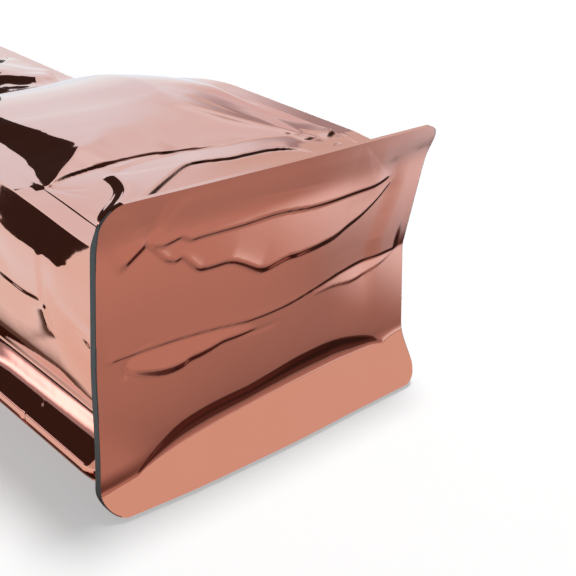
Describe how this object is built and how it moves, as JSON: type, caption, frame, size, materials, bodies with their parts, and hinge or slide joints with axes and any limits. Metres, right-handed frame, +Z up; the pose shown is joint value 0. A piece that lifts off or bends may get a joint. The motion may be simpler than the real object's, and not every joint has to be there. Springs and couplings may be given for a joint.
{
  "type": "flat-bottom pouch",
  "caption": "Filled flat-bottom pouch of copper metallised film, shut, lying on its back: flanged base panel with a fold, side gussets, corner seals, flat zip header and top seal.",
  "frame": {"origin": "on the surface that the pouch lies on, under the middle of its bounding box", "axes": "+X across the pouch, +Y from the base panel to the top seal, +Z up, through the front panel"},
  "size_m": [0.14, 0.3514, 0.1],
  "materials": {
    "copper_film": "glossy rose-copper metallised film, mirror-like, lightly creased",
    "film_cut_edge": "dark grey cut edge of the sealed film layers"
  },
  "bodies": {
    "root": {"pouch": "copper_film"}
  },
  "joints": []
}
